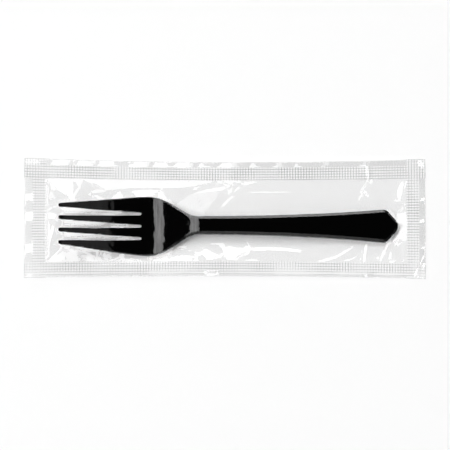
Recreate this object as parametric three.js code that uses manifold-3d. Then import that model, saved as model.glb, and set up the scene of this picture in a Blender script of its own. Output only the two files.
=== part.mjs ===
// A moulded plastic fork sealed in a flat pouch of clear film.
// Millimetres, +Z up. The pouch lies on a table at z = 0 with its middle at the origin.
// The tines point to -X and the handle to +X; the back edge of the pouch is at +Y.
import * as THREE from 'three';
import { mergeVertices } from 'three/addons/utils/BufferGeometryUtils.js';
import Module from 'manifold-3d';

const wasm = await Module();
wasm.setup();

// Fork in plan, along its own length from the tine tips
const FORK_LENGTH = 160;
const TINE_LENGTH = 38.9;
const TINE_PITCH = 5.9;
const TINE_TIP_WIDTH = 1.8;
const SLOT_ROOT_WIDTH = 1.45;
const PALM_LENGTH = 2.6;
const HEAD_WIDTH = 28.1;
const SHOULDER_LENGTH = 24.5;
const NECK_WIDTH = 8.55;
const HANDLE_END_WIDTH = 15.6;
const POINT_LENGTH = 5.4;
const CORNER_ROUND = 1.6;
const POINT_ROUND = 1.7;

// How full the outline's curves are, as shares of the stretches that they cover
const TINE_EDGE_START = 0.4;
const TINE_EDGE_END = 0.15;
const SHOULDER_START = 0.48;
const SHOULDER_END = 0.33;
const FLARE_START = 0.55;
const NOSE_FLAT = 0.15;

// Fork in side view: heights of its underside above where it lies, and its depths
const DIP_BEHIND_PALM = 1.9;
const TIP_LIFT = 9.9;
const CREST_LIFT = 3;
const TIP_THICKNESS = 1.4;
const HEAD_THICKNESS = 1.8;
const NECK_DEPTH = 3.2;
const HANDLE_END_DEPTH = 2.8;
const TIP_STEEPNESS = 1.15;
const END_STEEPNESS = 1.5;

// Edges of the top face, and the hollow under the handle
const HEAD_BEVEL = 0.4;
const HANDLE_BEVEL = 1.3;
const BEVEL_SLOPE = 0.55;
const PLATE_THICKNESS = 1.5;
const WALL_THICKNESS = 1.2;

// Film, and the room that it leaves around the fork
const FILM = 0.1;
const SEAT_GAP = 0.2;
const FILM_GAP = 0.3;
const TINE_ROOM = 6.1;
const HANDLE_ROOM = 4.4;
const BACK_ROOM = 8.65;
const FRONT_ROOM = 3.4;
const RISE_SHARE = 0.65;

// Heat seals: the welded border on each side of the pouch
const TINE_SEAL = 10.2;
const HANDLE_SEAL = 8.7;
const BACK_SEAL = 9.7;
const FRONT_SEAL = 7.5;
const TINE_SEAL_LIFT = 4.8;
const HANDLE_SEAL_LIFT = 1.3;
const SEAL_DROOP = 0.35;
const SEAL_WAVE = 0.22;
const SEAL_WAVES = 9;
const BACK_WAVE_SHIFT = 0.25;
const BACK_BOW = 1.6;
const FRONT_BOW = 1;

// Creases pressed up in the upper film, as shares of the window inside the seals:
// where each one starts and ends, its height and how far its slopes reach
const CREASES = [
  { from: [0, 1], to: [0.07, 0.75], rise: 1.3, reach: 4 },
  { from: [0.11, 1], to: [0.075, 0.74], rise: 1, reach: 3.5 },
  { from: [0, 0.55], to: [0.025, 0.42], rise: 0.8, reach: 3.5 },
  { from: [0, 0], to: [0.05, 0.18], rise: 1.2, reach: 4 },
  { from: [0.14, 0.02], to: [0.165, 0.16], rise: 0.8, reach: 3 },
  { from: [0.41, 0.2], to: [0.5, 0.23], rise: 0.9, reach: 3.5 },
  { from: [0.53, 0.97], to: [0.47, 0.65], rise: 0.9, reach: 4 },
  { from: [0.57, 0.17], to: [0.73, 0.13], rise: 0.7, reach: 3 },
  { from: [0.76, 0.03], to: [0.85, 0.18], rise: 0.8, reach: 3 },
  { from: [0.9, 0.97], to: [0.87, 0.77], rise: 0.8, reach: 3.5 },
  { from: [1, 0.98], to: [0.965, 0.73], rise: 1.2, reach: 4 },
  { from: [1, 0.25], to: [0.97, 0.42], rise: 0.8, reach: 3.5 },
];

// How finely the curves and the films are divided
const OUTLINE_STEPS = 9;
const SLOT_STEPS = 5;
const FORK_COLUMNS = 52;
const TINE_ROOM_COLUMNS = 3;
const HANDLE_ROOM_COLUMNS = 2;
const HEAD_ROWS = 12;
const BACK_ROWS = 4;
const FRONT_ROWS = 2;
const SEAL_CELLS = 2;
const TIGHTENING_PASSES = 600;
const SNUG = 1e-6;
const FLOOR_SAMPLES = 6;

// Lengths that follow from the ones above
const headLength = TINE_LENGTH + PALM_LENGTH;
const neckAt = headLength + SHOULDER_LENGTH;
const pointAt = FORK_LENGTH - POINT_LENGTH;
const dipAt = headLength + DIP_BEHIND_PALM;
const crestAt = dipAt + SHOULDER_LENGTH;
const slotMouthWidth = TINE_PITCH - TINE_TIP_WIDTH;
const tipSpan = 3 * TINE_PITCH + TINE_TIP_WIDTH;
const pouchLength = TINE_SEAL + TINE_ROOM + FORK_LENGTH + HANDLE_ROOM + HANDLE_SEAL;
const pouchWidth = FRONT_SEAL + FRONT_ROOM + HEAD_WIDTH + BACK_ROOM + BACK_SEAL;
const forkX = TINE_SEAL + TINE_ROOM - pouchLength / 2;
const forkY = FRONT_SEAL + FRONT_ROOM + HEAD_WIDTH / 2 - pouchWidth / 2;
const forkZ = FILM + SEAT_GAP;
const windowLength = pouchLength - TINE_SEAL - HANDLE_SEAL;
const windowWidth = pouchWidth - FRONT_SEAL - BACK_SEAL;
const windowX = TINE_SEAL - pouchLength / 2;
const windowY = FRONT_SEAL - pouchWidth / 2;

const { clamp, lerp, smoothstep } = THREE.MathUtils;

// Curve between two heights that leaves and arrives at the given slopes
function easeBetween(x, x0, z0, slope0, x1, z1, slope1) {
  const span = x1 - x0;
  const t = clamp((x - x0) / span, 0, 1);
  const s = 1 - t;
  return z0 * (1 + 2 * t) * s * s + span * slope0 * t * s * s
    + z1 * (3 - 2 * t) * t * t - span * slope1 * t * t * s;
}

// Half of the fork's outline in plan: x along the fork, y its half width
function forkOutline() {
  const tipRound = TINE_TIP_WIDTH / 2;
  const endHalf = HANDLE_END_WIDTH / 2;
  const neckHalf = NECK_WIDTH / 2;
  const headHalf = HEAD_WIDTH / 2;
  const tipHalf = tipSpan / 2;
  const cornerShare = CORNER_ROUND / Math.hypot(POINT_LENGTH, endHalf - POINT_ROUND);
  const outline = new THREE.Path();
  outline.moveTo(0, tipHalf - tipRound);
  outline.quadraticCurveTo(0, tipHalf, tipRound, lerp(tipHalf, headHalf, tipRound / headLength));
  outline.bezierCurveTo(
    headLength * TINE_EDGE_START, lerp(tipHalf, headHalf, TINE_EDGE_START),
    headLength * (1 - TINE_EDGE_END), headHalf,
    headLength, headHalf);
  outline.bezierCurveTo(
    headLength + SHOULDER_LENGTH * SHOULDER_START, headHalf,
    neckAt - SHOULDER_LENGTH * SHOULDER_END, neckHalf,
    neckAt, neckHalf);
  const flareEnd = pointAt - CORNER_ROUND;
  outline.quadraticCurveTo(lerp(neckAt, flareEnd, FLARE_START), neckHalf, flareEnd, endHalf);
  outline.quadraticCurveTo(
    pointAt, endHalf,
    lerp(pointAt, FORK_LENGTH, cornerShare), lerp(endHalf, POINT_ROUND, cornerShare));
  outline.lineTo(lerp(FORK_LENGTH, pointAt, cornerShare), lerp(POINT_ROUND, endHalf, cornerShare));
  outline.quadraticCurveTo(FORK_LENGTH, POINT_ROUND, FORK_LENGTH, POINT_ROUND * NOSE_FLAT);
  return outline.getPoints(OUTLINE_STEPS);
}

const stations = forkOutline();

function halfWidthAt(x) {
  const after = stations.findIndex((station) => station.x >= x);
  if (after <= 0) {
    return stations.at(after).y;
  }
  const a = stations[after - 1];
  const b = stations[after];
  return lerp(a.y, b.y, (x - a.x) / (b.x - a.x));
}

function undersideAt(x) {
  if (x < dipAt) {
    return easeBetween(x, 0, TIP_LIFT, -TIP_STEEPNESS * TIP_LIFT / dipAt, dipAt, 0, 0);
  }
  if (x < crestAt) {
    return easeBetween(x, dipAt, 0, 0, crestAt, CREST_LIFT, 0);
  }
  const endSlope = -END_STEEPNESS * CREST_LIFT / (FORK_LENGTH - crestAt);
  return easeBetween(x, crestAt, CREST_LIFT, 0, FORK_LENGTH, 0, endSlope);
}

function depthAt(x) {
  if (x < dipAt) {
    return lerp(TIP_THICKNESS, HEAD_THICKNESS, clamp(x / dipAt, 0, 1));
  }
  if (x < crestAt) {
    return lerp(HEAD_THICKNESS, NECK_DEPTH, smoothstep(x, dipAt, crestAt));
  }
  return lerp(NECK_DEPTH, HANDLE_END_DEPTH, (x - crestAt) / (FORK_LENGTH - crestAt));
}

function topAt(x) {
  return undersideAt(x) + depthAt(x);
}

// Closed skin over a row of convex rings, from the first ring to the last along +X
function loft(rings) {
  const count = rings[0].length;
  const index = [];
  for (let ring = 0; ring + 1 < rings.length; ring++) {
    for (let k = 0; k < count; k++) {
      const a = ring * count + k;
      const b = ring * count + (k + 1) % count;
      index.push(a, b, b + count, a, b + count, a + count);
    }
  }
  const last = (rings.length - 1) * count;
  for (let k = 1; k + 1 < count; k++) {
    index.push(0, k + 1, k);
    index.push(last, last + k, last + k + 1);
  }
  const geometry = new THREE.BufferGeometry();
  geometry.setAttribute('position', new THREE.Float32BufferAttribute(rings.flat(2), 3));
  geometry.setIndex(index);
  return geometry;
}

function toSolid(geometry) {
  const bare = geometry.clone();
  bare.deleteAttribute('normal');
  bare.deleteAttribute('uv');
  const merged = mergeVertices(bare);
  return new wasm.Manifold(new wasm.Mesh({
    numProp: 3,
    vertProperties: new Float32Array(merged.attributes.position.array),
    triVerts: new Uint32Array(merged.index.array),
  }));
}

function toGeometry(solid) {
  const mesh = solid.getMesh();
  const geometry = new THREE.BufferGeometry();
  geometry.setAttribute('position', new THREE.BufferAttribute(mesh.vertProperties, 3));
  geometry.setIndex(new THREE.BufferAttribute(mesh.triVerts, 1));
  geometry.computeVertexNormals();
  return geometry;
}

// Whole fork without its slots and hollow: a flat top with bevelled edges
function forkBlank() {
  return loft(stations.map(({ x, y: half }) => {
    const top = topAt(x);
    const widening = smoothstep(x, headLength, neckAt);
    const bevel = Math.min(lerp(HEAD_BEVEL, HANDLE_BEVEL, widening), half / 2);
    const edge = top - Math.min(bevel * BEVEL_SLOPE, depthAt(x) / 2);
    const underside = undersideAt(x);
    return [
      [x, -half, underside],
      [x, half, underside],
      [x, half, edge],
      [x, half - bevel, top],
      [x, bevel - half, top],
      [x, -half, edge],
    ];
  }));
}

// Gap between two tines: rounded at its root, with a mouth that rounds the tine tips
function slotCutter() {
  const mouth = slotMouthWidth / 2;
  const root = SLOT_ROOT_WIDTH / 2;
  const tip = TINE_TIP_WIDTH / 2;
  const outside = -tip;
  const tall = topAt(0) + forkZ;
  const shape = new THREE.Shape();
  shape.moveTo(outside, -mouth - tip);
  shape.lineTo(outside, mouth + tip);
  shape.lineTo(0, mouth + tip);
  shape.quadraticCurveTo(0, mouth, tip, mouth);
  shape.lineTo(TINE_LENGTH - root, root);
  shape.absarc(TINE_LENGTH - root, 0, root, Math.PI / 2, -Math.PI / 2, true);
  shape.lineTo(tip, -mouth);
  shape.quadraticCurveTo(0, -mouth, 0, -mouth - tip);
  const cutter = new THREE.ExtrudeGeometry(shape, {
    depth: 2 * tall,
    bevelEnabled: false,
    curveSegments: SLOT_STEPS,
  });
  return cutter.translate(0, 0, -tall);
}

// Hollow under the handle, open downwards, that leaves a plate and a wall all round
function handleHollow() {
  const pointSlope = (HANDLE_END_WIDTH / 2 - POINT_ROUND) / POINT_LENGTH;
  const endWall = WALL_THICKNESS * Math.hypot(1, pointSlope) / pointSlope;
  const hollowEnd = FORK_LENGTH - 2 * endWall;
  const places = stations.map(({ x }) => x).filter((x) => x >= crestAt && x < hollowEnd);
  return loft([...places, hollowEnd].map((x) => {
    const atPoint = POINT_ROUND + pointSlope * (FORK_LENGTH - endWall - x);
    const half = Math.min(halfWidthAt(x) - WALL_THICKNESS, atPoint);
    const roof = topAt(x) - PLATE_THICKNESS;
    const below = undersideAt(x) - PLATE_THICKNESS;
    return [[x, -half, below], [x, half, below], [x, half, roof], [x, -half, roof]];
  }));
}

function forkGeometry() {
  let solid = toSolid(forkBlank()).subtract(toSolid(handleHollow()));
  for (const place of [-1, 0, 1]) {
    const cutter = slotCutter().translate(0, place * TINE_PITCH, 0);
    solid = solid.subtract(toSolid(cutter));
  }
  return toGeometry(solid);
}

// Places along one direction: each span is divided into equal cells
function divide(start, spans) {
  const places = [start];
  for (const [length, cells] of spans) {
    const from = places.at(-1);
    for (let k = 1; k <= cells; k++) {
      places.push(from + length * k / cells);
    }
  }
  return places;
}

const columns = divide(-pouchLength / 2, [
  [TINE_SEAL, SEAL_CELLS],
  [TINE_ROOM, TINE_ROOM_COLUMNS],
  [FORK_LENGTH, FORK_COLUMNS],
  [HANDLE_ROOM, HANDLE_ROOM_COLUMNS],
  [HANDLE_SEAL, SEAL_CELLS],
]);

function filmRows(windowSpans) {
  return divide(-pouchWidth / 2, [[FRONT_SEAL, SEAL_CELLS], ...windowSpans, [BACK_SEAL, SEAL_CELLS]]);
}

// How far a place lies inside a seal, from 0 at the seal's inner edge to 1 at the pouch's edge
function sealShare(x, y) {
  const along = Math.max((windowX - x) / TINE_SEAL, (x - windowX - windowLength) / HANDLE_SEAL, 0);
  const across = Math.max((windowY - y) / FRONT_SEAL, (y - windowY - windowWidth) / BACK_SEAL, 0);
  return { along, across };
}

// Height of the weld between the two films
function weldHeight(x, y) {
  const { along, across } = sealShare(x, y);
  const towardsTines = 0.5 - x / pouchLength;
  const lift = lerp(HANDLE_SEAL_LIFT, TINE_SEAL_LIFT, towardsTines * towardsTines);
  const shift = y > 0 ? BACK_WAVE_SHIFT : 0;
  const wave = SEAL_WAVE * Math.sin(2 * Math.PI * (SEAL_WAVES * towardsTines + shift));
  return lift - SEAL_DROOP * (along * along + across * across) + wave * across;
}

// The long edges draw in towards the middle of the pouch
function drawnIn(x, y) {
  const share = y / (pouchWidth / 2);
  const bow = y > 0 ? BACK_BOW : FRONT_BOW;
  return y - bow * share * (1 - (2 * x / pouchLength) ** 2);
}

// Height that a film node has to clear so that the film passes over the fork around it
function floorUnderFilm(x0, x1, y0, y1) {
  let floor = -Infinity;
  for (let k = 0; k <= FLOOR_SAMPLES; k++) {
    const along = lerp(x0, x1, k / FLOOR_SAMPLES) - forkX;
    if (along < SNUG || along > FORK_LENGTH - SNUG) {
      continue;
    }
    const half = halfWidthAt(along) + FILM_GAP;
    if (y0 < forkY + half && y1 > forkY - half) {
      floor = Math.max(floor, forkZ + topAt(along) + FILM_GAP);
    }
  }
  return floor;
}

// Pulls a film tight between its held nodes: every other node settles at the mean of its
// neighbours, each weighted by its nearness, but never below its floor
function pullTight(rows, heights, floors, held) {
  const nearness = (places, k) => {
    const before = places[k] - places[k - 1];
    const after = places[k + 1] - places[k];
    return { before: 1 / (before * (before + after)), after: 1 / (after * (before + after)) };
  };
  for (let pass = 0; pass < TIGHTENING_PASSES; pass++) {
    for (let i = 1; i + 1 < columns.length; i++) {
      for (let j = 1; j + 1 < rows.length; j++) {
        if (held[i][j]) {
          continue;
        }
        const along = nearness(columns, i);
        const across = nearness(rows, j);
        const pull = heights[i - 1][j] * along.before + heights[i + 1][j] * along.after
          + heights[i][j - 1] * across.before + heights[i][j + 1] * across.after;
        const weight = along.before + along.after + across.before + across.after;
        heights[i][j] = Math.max(pull / weight, floors[i][j]);
      }
    }
  }
}

// Rise of the creases at a place in the window, none at the seals
function creaseRise(x, y) {
  const place = new THREE.Vector3(x, y, 0);
  let rise = 0;
  for (const crease of CREASES) {
    const [start, end] = [crease.from, crease.to].map(([u, v]) => (
      new THREE.Vector3(windowX + u * windowLength, windowY + v * windowWidth, 0)));
    const nearest = new THREE.Line3(start, end).closestPointToPoint(place, true, new THREE.Vector3());
    rise += crease.rise * Math.max(0, 1 - nearest.distanceTo(place) / crease.reach);
  }
  return rise;
}

function tableOf(rows, valueAt) {
  return columns.map((x, i) => rows.map((y, j) => valueAt(x, y, i, j)));
}

// Whether a film node lies on the weld, its inner edge included
function inSeal(x, y) {
  return x < windowX + SNUG || x > windowX + windowLength - SNUG
    || y < windowY + SNUG || y > windowY + windowWidth - SNUG;
}

// Upper film: over the fork and down to the seals, with its creases
function upperFilm() {
  const rows = filmRows([[FRONT_ROOM, FRONT_ROWS], [HEAD_WIDTH, HEAD_ROWS], [BACK_ROOM, BACK_ROWS]]);
  const held = tableOf(rows, inSeal);
  const heights = tableOf(rows, weldHeight);
  const floors = tableOf(rows, (x, y, i, j) => (held[i][j] ? -Infinity : floorUnderFilm(
    columns[i - 1], columns[i + 1], drawnIn(x, rows[j - 1]), drawnIn(x, rows[j + 1]))));
  pullTight(rows, heights, floors, held);
  const creased = tableOf(rows, (x, y, i, j) => heights[i][j] + (held[i][j] ? 0 : creaseRise(x, y)));
  return filmGeometry(rows, creased);
}

// Lower film: flat on the table under the fork's head and handle, and up to the seals
function lowerFilm() {
  const frontRise = FRONT_ROOM * RISE_SHARE;
  const backRise = BACK_ROOM * RISE_SHARE;
  const rows = filmRows([[frontRise, 1], [windowWidth - frontRise - backRise, 2], [backRise, 1]]);
  const underFork = (x, y) => !inSeal(x, y)
    && x >= forkX + TINE_LENGTH / 2 && x <= forkX + FORK_LENGTH;
  const held = tableOf(rows, (x, y) => inSeal(x, y) || underFork(x, y));
  const heights = tableOf(rows, (x, y) => (inSeal(x, y) ? weldHeight(x, y) : FILM));
  const floors = tableOf(rows, () => FILM);
  pullTight(rows, heights, floors, held);
  return filmGeometry(rows, heights.map((column) => column.map((height) => height - FILM)));
}

// Film of even thickness on a grid of nodes, from the heights of its underside
function filmGeometry(rows, heights) {
  const positions = [];
  for (const lift of [0, FILM]) {
    columns.forEach((x, i) => rows.forEach((y, j) => {
      positions.push(x, drawnIn(x, y), heights[i][j] + lift);
    }));
  }
  const count = rows.length;
  const upper = columns.length * count;
  const index = [];
  for (let i = 0; i + 1 < columns.length; i++) {
    for (let j = 0; j + 1 < count; j++) {
      const a = i * count + j;
      const b = a + count;
      index.push(a, b + 1, b, a, a + 1, b + 1);
      index.push(upper + a, upper + b, upper + b + 1, upper + a, upper + b + 1, upper + a + 1);
    }
  }
  const rim = (a, b) => index.push(a, b, upper + b, a, upper + b, upper + a);
  for (let i = 0; i + 1 < columns.length; i++) {
    rim(i * count, (i + 1) * count);
    rim((i + 2) * count - 1, (i + 1) * count - 1);
  }
  for (let j = 0; j + 1 < count; j++) {
    rim(j + 1, j);
    rim((columns.length - 1) * count + j, (columns.length - 1) * count + j + 1);
  }
  const geometry = new THREE.BufferGeometry();
  geometry.setAttribute('position', new THREE.Float32BufferAttribute(positions, 3));
  geometry.setIndex(index);
  geometry.computeVertexNormals();
  return geometry;
}

const blackPlastic = new THREE.MeshStandardMaterial({ color: 0x0a0a0b, roughness: 0.22, metalness: 0 });
const clearFilm = new THREE.MeshStandardMaterial({
  color: 0xf1f3f4, roughness: 0.12, metalness: 0, transparent: true, opacity: 0.22,
});

function namedMesh(name, geometry, material) {
  const mesh = new THREE.Mesh(geometry, material);
  mesh.name = name;
  return mesh;
}

const fork = namedMesh('fork', forkGeometry(), blackPlastic);
fork.position.set(forkX, forkY, forkZ);

const wrappedFork = new THREE.Group();
wrappedFork.add(
  fork,
  namedMesh('upper_film', upperFilm(), clearFilm),
  namedMesh('lower_film', lowerFilm(), clearFilm),
);

export default wrappedFork;
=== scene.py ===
"""Looks of a black plastic fork sealed in a flat pouch of clear film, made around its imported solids.

Metres, +Z up, in the frame of the solids: tines towards -X, handle towards +X, back edge of the pouch
towards +Y. Sizes of the object are named in millimetres, and MM turns them to metres for Blender.
"""

import math

import bpy
import numpy as np
from mathutils import Euler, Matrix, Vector
from mathutils.bvhtree import BVHTree
from mathutils.geometry import delaunay_2d_cdt


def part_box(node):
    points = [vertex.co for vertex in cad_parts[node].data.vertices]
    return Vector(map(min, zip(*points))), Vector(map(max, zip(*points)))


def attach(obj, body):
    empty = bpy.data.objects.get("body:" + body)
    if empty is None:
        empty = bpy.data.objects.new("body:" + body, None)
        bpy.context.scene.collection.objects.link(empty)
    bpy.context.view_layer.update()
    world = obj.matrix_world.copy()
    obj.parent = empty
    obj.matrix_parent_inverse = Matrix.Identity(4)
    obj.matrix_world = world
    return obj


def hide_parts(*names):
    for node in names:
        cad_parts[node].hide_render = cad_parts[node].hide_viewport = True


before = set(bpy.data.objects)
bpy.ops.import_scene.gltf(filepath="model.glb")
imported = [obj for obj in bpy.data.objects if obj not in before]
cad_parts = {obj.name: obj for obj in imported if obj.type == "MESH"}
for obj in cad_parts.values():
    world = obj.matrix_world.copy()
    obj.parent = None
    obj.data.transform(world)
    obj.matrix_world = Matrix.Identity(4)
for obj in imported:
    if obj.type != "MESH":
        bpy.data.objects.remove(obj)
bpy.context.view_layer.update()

MM = 0.001

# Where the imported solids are
fork_low, fork_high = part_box("fork")
film_low, film_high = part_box("upper_film")
FORK_LENGTH = (fork_high.x - fork_low.x) / MM
HEAD_WIDTH = (fork_high.y - fork_low.y) / MM
FORK_X = fork_low.x / MM
FORK_Y = (fork_high.y + fork_low.y) / 2 / MM
FORK_Z = fork_low.z / MM
POUCH_LENGTH = (film_high.x - film_low.x) / MM
POUCH_WIDTH = (film_high.y - film_low.y) / MM

# Fork in plan, along its own length from the tine tips
TINE_LENGTH = 38.9
TINE_PITCH = 5.9
TINE_TIP_WIDTH = 1.8
SLOT_ROOT_WIDTH = 1.45
PALM_LENGTH = 2.6
SHOULDER_LENGTH = 24.5
NECK_WIDTH = 8.55
HANDLE_END_WIDTH = 15.6
POINT_LENGTH = 5.4
CORNER_ROUND = 1.6
POINT_ROUND = 1.7
HEAD_LENGTH = TINE_LENGTH + PALM_LENGTH
NECK_AT = HEAD_LENGTH + SHOULDER_LENGTH
POINT_AT = FORK_LENGTH - POINT_LENGTH

# How full the outline's curves are, as shares of the stretches that they cover
TINE_EDGE_START = 0.4
TINE_EDGE_END = 0.15
SHOULDER_START = 0.48
SHOULDER_END = 0.33
FLARE_START = 0.55
NOSE_FLAT = 0.15

# Fork in side view: its underside above where it lies, its depths, and how steep its ends are
DIP_BEHIND_PALM = 1.9
DIP_AT = HEAD_LENGTH + DIP_BEHIND_PALM
CREST_AT = DIP_AT + SHOULDER_LENGTH
TIP_LIFT = 9.9
CREST_LIFT = 3.0
TIP_THICKNESS = 1.4
HEAD_THICKNESS = 1.8
NECK_DEPTH = 3.2
HANDLE_END_DEPTH = 2.8
TIP_STEEPNESS = 1.15
END_STEEPNESS = 1.5

# Fork's edges; the flats are shares of a rounded end's width, the angle is in degrees
HEAD_BEVEL = 0.4
HANDLE_BEVEL = 1.3
BEVEL_RAMP = 0.8 * SHOULDER_LENGTH
BEVEL_SLOPE = 0.55
EDGE_ROUND = 0.16
EDGE_ANGLE = 24
TIP_FLAT = 0.45
SLOT_FLAT = 0.35

# Hollow under the handle; its wall takes at most a share of the half width
PLATE_THICKNESS = 1.5
WALL_THICKNESS = 1.2
WALL_SHARE = 0.6
WALL_DRAFT = 0.2
HOLLOW_RAMP = 1.2

# Rows of the fork's grid to each side of its middle line: between them lie the slots and the tines, and
# behind the tines the last ones carry the hollow's roof, its wall and the fork's edge
MIDDLE_SLOT_END = 1
OUTER_SLOT = (3, 5)
ROOF_ROW = 6
WALL_ROW = 7
EDGE_ROW = 8

# Where the rows lie across the handle, as shares of its flat top and of its hollow
TOP_SHARES = (0, 0.14, 0.3, 0.45, 0.54, 0.64, 0.82, 1)
HOLLOW_SHARES = (0.16, 0.34, 0.5, 0.68, 0.86, 1)

# Pouch: film, seals and the room inside them
FILM = 0.05
CAD_FILM = 0.1
WELD_GAP = 0.01
FILM_CLEARANCE = 0.12
FORK_EDGE_DROP = 0.5
TINE_SEAL = 10.2
HANDLE_SEAL = 8.7
BACK_SEAL = 9.7
FRONT_SEAL = 7.5
BACK_BOW = 1.6
FRONT_BOW = 1.0
WINDOW_X = TINE_SEAL - POUCH_LENGTH / 2
WINDOW_Y = FRONT_SEAL - POUCH_WIDTH / 2
WINDOW_LENGTH = POUCH_LENGTH - TINE_SEAL - HANDLE_SEAL
WINDOW_WIDTH = POUCH_WIDTH - FRONT_SEAL - BACK_SEAL

# Knurled jaws: strips of waffle that cross in the corners, and the plain margins outside them
WAFFLE_PITCH = 1.306
WAFFLE_HEIGHT = 0.1
TINE_MARGIN = 3.3
HANDLE_MARGIN = 3.0
BACK_MARGIN = 2.8
FRONT_MARGIN = 0.7
FILM_COLUMNS = 2 * round(POUCH_LENGTH / WAFFLE_PITCH)
FILM_ROWS = 2 * round(POUCH_WIDTH / WAFFLE_PITCH)

# Flutter and droop of the margins at their cut edges, which start a little way inside the waffle;
# those of the back margin change from the tine end to the handle end
TINE_FLUTTER = 0.9
TINE_DROOP = -0.1
BACK_FLUTTER = (1.1, 0.5)
BACK_DROOP = (0.85, 0.3)
HANDLE_FLUTTER = 0.9
HANDLE_DROOP = 0.35
FLUTTER_OVERLAP = 0.7

# How strongly painted shade greys the jaws' grid lines and the plain seals, from the tine end to the handle
# end;
# the grid's painted shade is fainter in places, fades out in patches along the front edge, and painted
# shade also lines the cut edges
GRID_SHADE = (0.4, 0.47)
PLAIN_SEAL_SHADE = (0.03, 0.14)
FAINTEST_GRID_SHADE = 0.4
FRONT_GRID_SHADE = 0.78
END_COLUMN_SHADE = 0.6
FRONT_FADE_FROM = 4.3
FRONT_FADE = 0.45
CUT_EDGE = 0.25

# How often the webs are pulled tight and random patches are blurred, and the seeds of what is random
WELD_PASSES = 12
UPPER_PASSES = 400
NEAR_NODES = 3
NEAR_PASSES = 5
LOWER_PASSES = 900
PATCH_PASSES = 90
FACET_SEED = 11
TINE_FLUTTER_SEED = 3
BACK_FLUTTER_SEED = 8
HANDLE_FLUTTER_SEED = 4
FADE_SEED = 9
COLUMN_SEED = 7
ROW_SEED = 5


def linear(hex_colour):
    """Linear RGBA of an sRGB colour written as hex."""
    channels = [int(hex_colour[k:k + 2], 16) / 255 for k in (1, 3, 5)]
    curve = [c / 12.92 if c <= 0.04045 else ((c + 0.055) / 1.055) ** 2.4 for c in channels]
    return (*curve, 1.0)


def add_node(tree, kind, settings=None, **inputs):
    """Adds a node; an input is a value for its socket, or another node's output to link to it."""
    node = tree.nodes.new(kind)
    for name, value in (settings or {}).items():
        setattr(node, name, value)
    for name, value in inputs.items():
        key = int(name[1:]) if name[0] == "_" and name[1:].isdigit() else name.replace("_", " ")
        socket = node.inputs[key]
        if isinstance(value, bpy.types.NodeSocket):
            tree.links.new(value, socket)
        else:
            socket.default_value = value
    return node


def new_material(name):
    material = bpy.data.materials.new(name)
    material.use_nodes = True
    material.node_tree.nodes.clear()
    return material, material.node_tree


def lerp(a, b, t):
    return a + (b - a) * t


def smooth(t):
    """Eased share from 0 to 1."""
    t = np.clip(t, 0, 1)
    return t * t * (3 - 2 * t)


def ease_between(x, x0, z0, slope0, x1, z1, slope1):
    """Curve between two heights that leaves and arrives at the given slopes."""
    span = x1 - x0
    t = np.clip((x - x0) / span, 0, 1)
    s = 1 - t
    return (z0 * (1 + 2 * t) * s * s + span * slope0 * t * s * s
            + z1 * (3 - 2 * t) * t * t - span * slope1 * t * t * s)


def bezier(*corners, steps=24):
    """Points of a Bezier curve, without its first one."""
    t = np.linspace(0, 1, steps + 1)[1:, None]
    degree = len(corners) - 1
    return sum(math.comb(degree, k) * t**k * (1 - t) ** (degree - k) * np.array(corner, float)
               for k, corner in enumerate(corners))


def only(piece):
    """Leaves this piece alone selected and active."""
    bpy.ops.object.select_all(action="DESELECT")
    piece.select_set(True)
    bpy.context.view_layer.objects.active = piece


def apply_modifier(piece, kind, **settings):
    only(piece)
    modifier = piece.modifiers.new(kind.lower(), kind)
    for name, value in settings.items():
        setattr(modifier, name, value)
    bpy.ops.object.modifier_apply(modifier=modifier.name)


def unit_grid(name, columns, rows):
    """Flat grid with its vertices at whole numbers, from 0 to columns and from 0 to rows."""
    bpy.ops.object.select_all(action="DESELECT")
    bpy.ops.mesh.primitive_grid_add(x_subdivisions=columns, y_subdivisions=rows, size=1)
    piece = bpy.context.object
    piece.name = name
    bpy.ops.object.mode_set(mode="EDIT")
    bpy.ops.mesh.select_all(action="SELECT")
    bpy.ops.transform.translate(value=(0.5, 0.5, 0))
    bpy.ops.transform.resize(value=(columns, rows, 1), center_override=(0, 0, 0))
    bpy.ops.object.mode_set(mode="OBJECT")
    return piece


def vertex_places(piece):
    places = np.empty(3 * len(piece.data.vertices), np.float32)
    piece.data.vertices.foreach_get("co", places)
    return places.reshape(-1, 3)


def set_vertex_places(piece, places_mm):
    piece.data.vertices.foreach_set("co", (places_mm * MM).astype(np.float32).ravel())
    piece.data.update()


# Studio, in metres; the frame's width and the aim are in millimetres, like the object
CAMERA_TILT = math.radians(8.5)
CAMERA_DISTANCE = 3.0
FRAME_WIDTH = 212.45
AIM = Vector((0.0, -3.15, 2.0)) * MM
WALL_DISTANCE = 6.0
CEILING_HEIGHT = 2.0
FLOOR_SIZE = 8.0
FLOOR_DROP = 0.0001

# Grey of the room by the sine of the angle over the horizon: light low down, dark overhead
ROOM_GREYS = ((0.0, 1.0), (0.08, 1.0), (0.14, 0.2), (0.5, 0.2), (0.66, 0.18), (0.8, 0.1), (0.83, 0.006))


def studio_camera():
    """Long lens, nearly straight above the pouch, leaning a little to its front edge."""
    data = bpy.data.cameras.new("camera")
    camera = bpy.data.objects.new("camera", data)
    bpy.context.collection.objects.link(camera)
    data.angle = 2 * math.atan(FRAME_WIDTH * MM / 2 / CAMERA_DISTANCE)
    camera.rotation_euler = Euler((CAMERA_TILT, 0, 0))
    camera.location = AIM + Vector((0, -math.sin(CAMERA_TILT), math.cos(CAMERA_TILT))) * CAMERA_DISTANCE
    bpy.context.scene.camera = camera


def area_lamp(name, size_x, size_y, radiance):
    """Rectangular lamp, before it is placed, with its brightness as an eye would see it."""
    data = bpy.data.lights.new(name, "AREA")
    data.shape = "RECTANGLE"
    data.size = size_x
    data.size_y = size_y
    data.energy = radiance * math.pi * size_x * size_y
    lamp = bpy.data.objects.new(name, data)
    bpy.context.collection.objects.link(lamp)
    return lamp


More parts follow.
